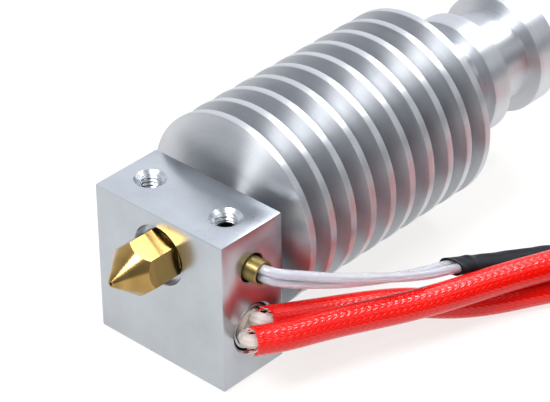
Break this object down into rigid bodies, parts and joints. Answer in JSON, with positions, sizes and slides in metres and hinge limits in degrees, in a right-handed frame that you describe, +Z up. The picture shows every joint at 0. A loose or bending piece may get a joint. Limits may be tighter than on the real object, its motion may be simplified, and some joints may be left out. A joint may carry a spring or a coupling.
{
  "type": "hotend assembly",
  "caption": "Filament hotend on its side: brass nozzle in a heater block, finned heatsink with mounting groove, push-fit collet, red heater leads and a thermistor lead in a tied coil.",
  "frame": {"origin": "middle of the hotend's footprint on the surface it lies on, leads not counted", "axes": "+Z up; the hotend's axis lies along Y, nozzle tip towards -Y and mounting end towards +Y; the leads leave on the +X side"},
  "size_m": [0.1054, 0.0742, 0.0271],
  "materials": {
    "block": "satin, milled",
    "heatsink": "turned, with fine turning marks",
    "nozzle_brass": "turned and polished",
    "insert_brass": "turned",
    "capsule_brass": "dull",
    "steel": "turned",
    "black_steel": "black oxide",
    "liner_ptfe": "waxy",
    "clear_ptfe": "clear and waxy",
    "red_sleeve": "varnished braid",
    "glass_fibre": "braided",
    "ceramic": "cast",
    "nichrome": "oxidised",
    "bead_glass": "fused",
    "heat_shrink": "satin",
    "white_wire": "smooth",
    "black_plastic": "moulded",
    "tinned": "tin plated",
    "ferrule_collar": "moulded",
    "tie_nylon": "moulded"
  },
  "bodies": {
    "hotend": {"heater_block": "block", "nozzle": "nozzle_brass", "heat_break": "steel", "ptfe_liner": "liner_ptfe", "heatsink": "heatsink", "collet_insert": "insert_brass", "heater_sheath": "steel", "heater_core": "ceramic", "heater_element": "nichrome", "heater_seal": "ceramic", "heater_tail_a": "glass_fibre", "heater_tail_b": "glass_fibre", "heater_lead_a": "red_sleeve", "heater_lead_b": "red_sleeve", "heater_lead_a_coil": "red_sleeve", "heater_lead_b_coil": "red_sleeve", "heater_lead_a_end": "red_sleeve", "heater_lead_b_end": "red_sleeve", "ferrule_collar_a": "ferrule_collar", "ferrule_collar_b": "ferrule_collar", "ferrule_pin_a": "tinned", "ferrule_pin_b": "tinned", "thermistor_capsule": "capsule_brass", "thermistor_bead": "bead_glass", "thermistor_cement": "ceramic", "thermistor_sleeve_a": "clear_ptfe", "thermistor_sleeve_b": "clear_ptfe", "splice_sleeve": "heat_shrink", "thermistor_wire_a": "white_wire", "thermistor_wire_b": "white_wire", "thermistor_wire_coil": "white_wire", "thermistor_wire_a_end": "white_wire", "thermistor_wire_b_end": "white_wire", "connector_housing": "black_plastic", "connector_terminal_a": "tinned", "connector_terminal_b": "tinned", "thermistor_grub_screw": "black_steel", "heater_grub_screw": "black_steel", "coil_tie_1": "tie_nylon", "coil_tie_2": "tie_nylon"},
    "collet": {"collet": "black_plastic"}
  },
  "joints": [
    {"name": "collet_slide", "type": "slide", "parent": "hotend", "child": "collet", "axis": [0, -1, 0], "range_m": [0, 0.001], "stiffness_N_per_m": 500, "springref_m": -0.001}
  ]
}
